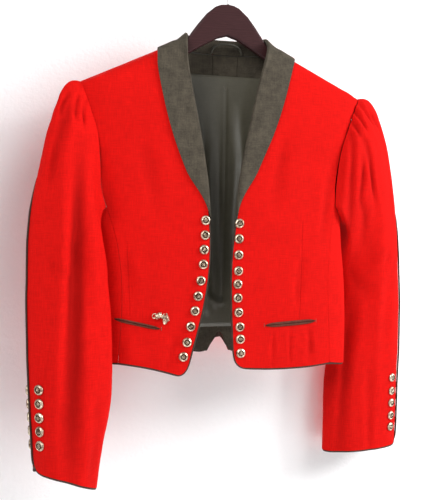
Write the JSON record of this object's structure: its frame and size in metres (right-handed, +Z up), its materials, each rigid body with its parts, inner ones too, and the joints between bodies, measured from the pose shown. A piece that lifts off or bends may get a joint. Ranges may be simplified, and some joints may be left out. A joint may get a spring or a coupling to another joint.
{
  "type": "trachten jacket on a clothes hanger",
  "caption": "Cropped jacket with gathered sleeve heads, a shawl collar, piped edges and rows of metal buttons, hanging open on a wooden hanger with a wire hook.",
  "frame": {"origin": "the point inside the top of the hanger's hook, where a rail or wall hook carries it", "axes": "+Z up, the jacket's front faces -Y, the wearer's left is at +X"},
  "size_m": [0.5798, 0.16, 0.7281],
  "materials": {
    "red_wool": "bright scarlet woven wool, matt with a fine nap",
    "olive_trim": "mottled olive-grey linen, matt",
    "green_lining": "grey-green satin lining with a soft sheen",
    "brown_piping": "dark brown corded piping, matt",
    "pale_brass": "aged champagne-coloured metal with dark recesses",
    "dark_wood": "dark reddish stained wood, satin varnish",
    "steel_wire": "plain steel wire"
  },
  "bodies": {
    "root": {"front_right": "red_wool", "front_left": "red_wool", "side_right": "red_wool", "side_left": "red_wool", "back": "red_wool", "sleeve_right": "red_wool", "sleeve_left": "red_wool", "collar": "olive_trim", "back_neck_facing": "olive_trim", "back_hem_facing": "olive_trim", "hanger_loop": "olive_trim", "back_lining": "green_lining", "edge_piping": "brown_piping", "sleeve_piping_right": "brown_piping", "sleeve_piping_left": "brown_piping", "pocket_right": "brown_piping", "pocket_left": "brown_piping", "front_button_right_1": "pale_brass", "front_button_right_2": "pale_brass", "front_button_right_3": "pale_brass", "front_button_right_4": "pale_brass", "front_button_right_5": "pale_brass", "front_button_right_6": "pale_brass", "front_button_right_7": "pale_brass", "front_button_right_8": "pale_brass", "front_button_right_9": "pale_brass", "front_button_right_10": "pale_brass", "front_button_left_1": "pale_brass", "front_button_left_2": "pale_brass", "front_button_left_3": "pale_brass", "front_button_left_4": "pale_brass", "front_button_left_5": "pale_brass", "front_button_left_6": "pale_brass", "front_button_left_7": "pale_brass", "front_button_left_8": "pale_brass", "front_button_left_9": "pale_brass", "front_button_left_10": "pale_brass", "cuff_button_right_front_1": "pale_brass", "cuff_button_right_front_2": "pale_brass", "cuff_button_right_front_3": "pale_brass", "cuff_button_right_front_4": "pale_brass", "cuff_button_right_front_5": "pale_brass", "cuff_button_right_back_1": "pale_brass", "cuff_button_right_back_2": "pale_brass", "cuff_button_right_back_3": "pale_brass", "cuff_button_right_back_4": "pale_brass", "cuff_button_right_back_5": "pale_brass", "cuff_button_left_front_1": "pale_brass", "cuff_button_left_front_2": "pale_brass", "cuff_button_left_front_3": "pale_brass", "cuff_button_left_front_4": "pale_brass", "cuff_button_left_front_5": "pale_brass", "cuff_button_left_back_1": "pale_brass", "cuff_button_left_back_2": "pale_brass", "cuff_button_left_back_3": "pale_brass", "cuff_button_left_back_4": "pale_brass", "cuff_button_left_back_5": "pale_brass", "charms": "pale_brass", "hanger": "dark_wood", "hook": "steel_wire"}
  },
  "joints": []
}
